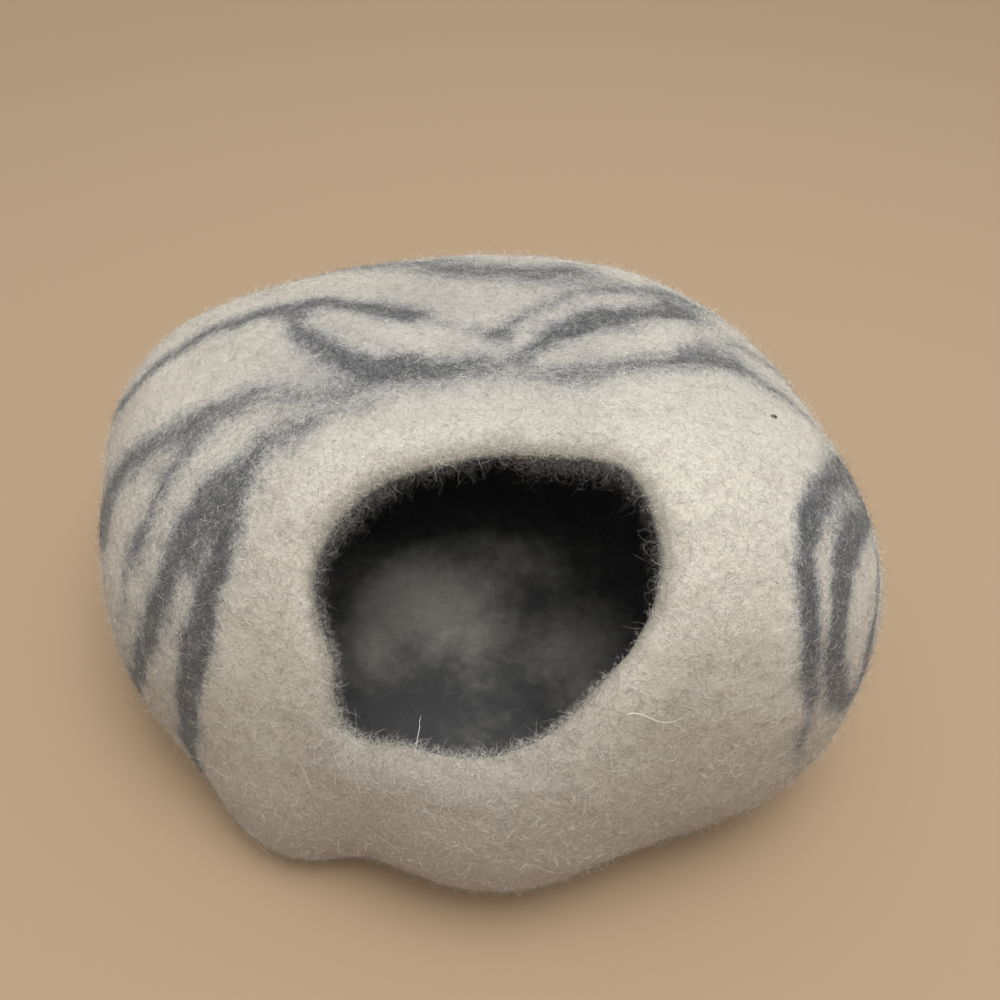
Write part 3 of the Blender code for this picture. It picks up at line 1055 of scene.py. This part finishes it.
class CATCAVE_OT_fringe(bpy.types.Operator):
    """Hangs the curly fringe round the edge of the mouth"""

    bl_idname = "cat_cave.fringe"
    bl_label = "Mouth fringe"

    def execute(self, context):
        mesh = felt_mesh()
        rng = np.random.default_rng(23)
        slots = fibre_materials(FIBRES)

        count = FUZZ_COUNT
        roots, ups, held = scatter(mesh, count, fuzz_weight, rng)
        low = lip_share(roots)
        length = (FUZZ_LENGTH + FUZZ_LENGTH_LOW * low) * rng.lognormal(0, 0.4, count)
        lift = rng.uniform(0.0004, 0.0024, count) * (1 + 0.9 * low)
        paths = fibre_paths(roots, ups, length, lift, rng.normal(0, 4.2, count), FUZZ_STEPS, rng)
        parts = ribbons(paths, ups, FUZZ_BREADTH * rng.uniform(0.7, 1.3, count), rng)
        # the fuzz takes dark tones over the dark inner wool and over the painted shade on the rim
        dark = np.maximum(held[INNER] * 2.2 * (1 - 0.88 * low), held[RIM] * 0.9)
        build_fibres("rim_fuzz", parts, pick_tones(dark, CREAM_FUZZ, DARK_FUZZ, rng), slots)

        count = CURL_COUNT
        roots, ups, _ = scatter(mesh, count, curl_weight, rng)
        length = CURL_LENGTH * rng.lognormal(0, 0.5, count)
        turns = length / CURL_LENGTH * rng.uniform(0.6, 2.2, count)
        paths = curl_paths(roots, ups, length, turns, CURL_STEPS, rng)
        parts = ribbons(paths, ups, CURL_BREADTH * rng.uniform(0.7, 1.3, count), rng)
        build_fibres("rim_curls", parts, rng.choice(len(FIBRES), count, p=CURL_TONES), slots)
        return {"FINISHED"}


class CATCAVE_OT_strays(bpy.types.Operator):
    """Adds the long stray hairs and a speck of chaff"""

    bl_idname = "cat_cave.strays"
    bl_label = "Stray hairs"

    def execute(self, context):
        mesh = felt_mesh()
        tree = surface(mesh)
        rng = np.random.default_rng(31)
        verts, tris = [], []
        for hair in HAIRS:
            place, up = cast(tree, direction(hair.azimuth, hair.elevation))
            if place is None:
                raise RuntimeError("a stray hair misses the felt")
            angle = radians(hair.heading)
            level = up.cross(Vector((0, 0, 1))).normalized()
            climb = level.cross(up).normalized()
            line = []
            at = place.copy()
            for k in range(HAIR_STEPS + 1):
                share = k / HAIR_STEPS
                turn = angle + hair.curl * sin(share * 4.2)
                line.append(at + up * (hair.stand * share ** 1.4 + 0.0008))
                at = at + (climb * cos(turn) - level * sin(turn)) * (hair.length / HAIR_STEPS)
                at, up = tree.find_nearest(at)[:2]
            own, faces, _ = ribbons(np.array([line]), np.array([up]), np.array([hair.breadth]), rng, 0.4)
            tris.append(faces + sum(len(v) for v in verts))
            verts.append(own)
        tris = np.concatenate(tris)
        parts = (np.concatenate(verts), tris, 1)
        build_fibres("stray_hairs", parts, np.zeros(len(tris)), fibre_materials(("kemp_fibre",)))

        deselect_all()
        place, _ = cast(tree, direction(85, 45))
        bpy.ops.mesh.primitive_ico_sphere_add(subdivisions=3, radius=0.0016, location=place)
        speck = context.object
        speck.name = speck.data.name = "chaff_speck"
        speck.scale = (1.5, 0.8, 0.6)
        bpy.ops.object.transform_apply()
        displace(speck, "chaff_lumps", 0.0012, 0.0012, 2)
        bpy.ops.object.shade_smooth()
        material, _ = new_material("dry_chaff", Base_Color=(0.095, 0.075, 0.055, 1.0), Roughness=0.9)
        speck.data.materials.append(material)
        finish_piece(speck)

        return {"FINISHED"}


class CATCAVE_PT_panel(bpy.types.Panel):
    """Lists the steps that make the cat cave and their settings"""

    bl_label = "Felt cat cave"
    bl_idname = "CATCAVE_PT_panel"
    bl_space_type = "VIEW_3D"
    bl_region_type = "UI"
    bl_category = "Cat Cave"

    def draw(self, context):
        layout = self.layout
        for group in (context.scene.cat_cave_studio, context.scene.cat_cave_wool):
            column = layout.column(align=True)
            for key in group.__annotations__:
                column.prop(group, key)
        for step in STEPS:
            layout.operator(step.bl_idname)


STEPS = (CATCAVE_OT_studio, CATCAVE_OT_felt_wall, CATCAVE_OT_nap, CATCAVE_OT_fringe, CATCAVE_OT_strays)
CLASSES = (CatCaveWool, CatCaveStudio, *STEPS, CATCAVE_PT_panel)


def register():
    """Registers the classes and hangs the settings on the scene."""
    for item in CLASSES:
        bpy.utils.register_class(item)
    bpy.types.Scene.cat_cave_wool = PointerProperty(type=CatCaveWool)
    bpy.types.Scene.cat_cave_studio = PointerProperty(type=CatCaveStudio)


def unregister():
    """Takes the settings and the classes away again."""
    del bpy.types.Scene.cat_cave_studio
    del bpy.types.Scene.cat_cave_wool
    for item in reversed(CLASSES):
        bpy.utils.unregister_class(item)


def main():
    """Makes the studio and every piece."""
    register()
    bpy.ops.cat_cave.studio()
    bpy.ops.cat_cave.felt_wall()
    bpy.ops.cat_cave.nap()
    bpy.ops.cat_cave.fringe()
    bpy.ops.cat_cave.strays()


if __name__ == "__main__":
    main()
